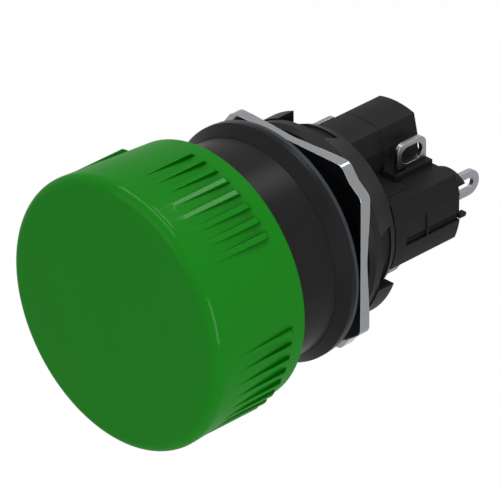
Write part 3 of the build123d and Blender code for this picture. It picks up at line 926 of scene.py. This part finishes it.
def plain_surroundings():
    """A world that lights evenly, and is white for the camera and in reflections."""
    world = bpy.data.worlds.new("studio_world")
    world.use_nodes = True
    nodes = world.node_tree.nodes
    links = world.node_tree.links
    path = nodes.new("ShaderNodeLightPath")
    seen = nodes.new("ShaderNodeMath")
    seen.operation = "MAXIMUM"
    links.new(path.outputs["Is Camera Ray"], seen.inputs[0])
    links.new(path.outputs["Is Glossy Ray"], seen.inputs[1])
    tone = colour_mix(nodes, links, seen.outputs["Value"], grey(1.0))
    tone.inputs["A"].default_value = grey(WORLD_TONE)
    links.new(tone.outputs["Result"], nodes["Background"].inputs["Color"])
    return world


def aim_camera(studio):
    """The camera, from its angles, its distance and the origin's place in the picture."""
    right, up, forward = camera_axes(studio.azimuth, studio.elevation, studio.roll)
    width = studio.distance * SENSOR_WIDTH / studio.lens
    place = -(
        studio.origin_right * width * right
        + studio.origin_up * width * up
        + studio.distance * forward
    )
    turn = Matrix((right, up, -forward)).transposed().to_4x4()
    data = bpy.data.cameras.new("camera")
    data.sensor_width = SENSOR_WIDTH
    data.lens = studio.lens
    data.clip_start = CLIP_START
    data.clip_end = CLIP_END
    camera = bpy.data.objects.new("camera", data)
    camera.matrix_world = Matrix.Translation(place) @ turn
    bpy.context.scene.collection.objects.link(camera)
    return camera


class BUTTON_OT_set_studio(bpy.types.Operator):
    """Pale floor, soft lamps, plain surroundings and the camera"""

    bl_idname = "button.set_studio"
    bl_label = "Set studio"

    def execute(self, context):
        studio = context.scene.button_studio
        lay_floor(studio.floor_drop)
        for name, (place, width, height, power) in LAMPS.items():
            area_lamp(name, place, width, height, power * studio.light_level)
        context.scene.world = plain_surroundings()
        context.scene.camera = aim_camera(studio)
        context.scene.view_settings.view_transform = "Standard"
        return {"FINISHED"}


class BUTTON_PT_panel(bpy.types.Panel):
    """The steps and settings, in order"""

    bl_idname = "BUTTON_PT_panel"
    bl_label = "Push button"
    bl_space_type = "VIEW_3D"
    bl_region_type = "UI"
    bl_category = "Push button"

    def draw(self, context):
        for group_name, fields, operator in STEPS:
            column = self.layout.column(align=True)
            group = getattr(context.scene, group_name)
            for field in fields:
                column.prop(group, field)
            column.operator(operator)


# The panel's steps: settings group, its fields and the operator that uses them
STEPS = (
    (
        "button_studio",
        (
            "azimuth",
            "elevation",
            "roll",
            "distance",
            "lens",
            "origin_right",
            "origin_up",
            "floor_drop",
            "light_level",
        ),
        "button.set_studio",
    ),
    ("button_cap", ("colour", "roughness", "gloss", "flow_angle"), "button.finish_cap"),
    (
        "button_plastic",
        ("colour", "roughness", "gloss", "edge_radius"),
        "button.finish_mouldings",
    ),
    ("button_plastic", ("rubber_colour",), "button.finish_seals"),
    (
        "button_metal",
        ("plate_colour", "terminal_colour", "tail_colour"),
        "button.finish_metals",
    ),
    ("button_metal", (), "button.fit_springs"),
    ("button_thread", ("pitch", "height", "radius"), "button.cut_thread"),
)

SETTINGS = {
    "button_cap": CapSettings,
    "button_plastic": PlasticSettings,
    "button_metal": MetalSettings,
    "button_thread": ThreadSettings,
    "button_studio": StudioSettings,
}

CLASSES = (
    *SETTINGS.values(),
    BUTTON_OT_finish_cap,
    BUTTON_OT_finish_mouldings,
    BUTTON_OT_finish_seals,
    BUTTON_OT_finish_metals,
    BUTTON_OT_fit_springs,
    BUTTON_OT_cut_thread,
    BUTTON_OT_set_studio,
    BUTTON_PT_panel,
)


def register():
    for item in CLASSES:
        bpy.utils.register_class(item)
    for name, group in SETTINGS.items():
        setattr(bpy.types.Scene, name, bpy.props.PointerProperty(type=group))


def unregister():
    for name in SETTINGS:
        delattr(bpy.types.Scene, name)
    for item in reversed(CLASSES):
        bpy.utils.unregister_class(item)


def main():
    """Registers the add-on and runs its steps in order."""
    register()
    bpy.ops.button.set_studio()
    bpy.ops.button.finish_cap()
    bpy.ops.button.finish_mouldings()
    bpy.ops.button.finish_seals()
    bpy.ops.button.finish_metals()
    bpy.ops.button.fit_springs()
    bpy.ops.button.cut_thread()


if __name__ == "__main__":
    main()
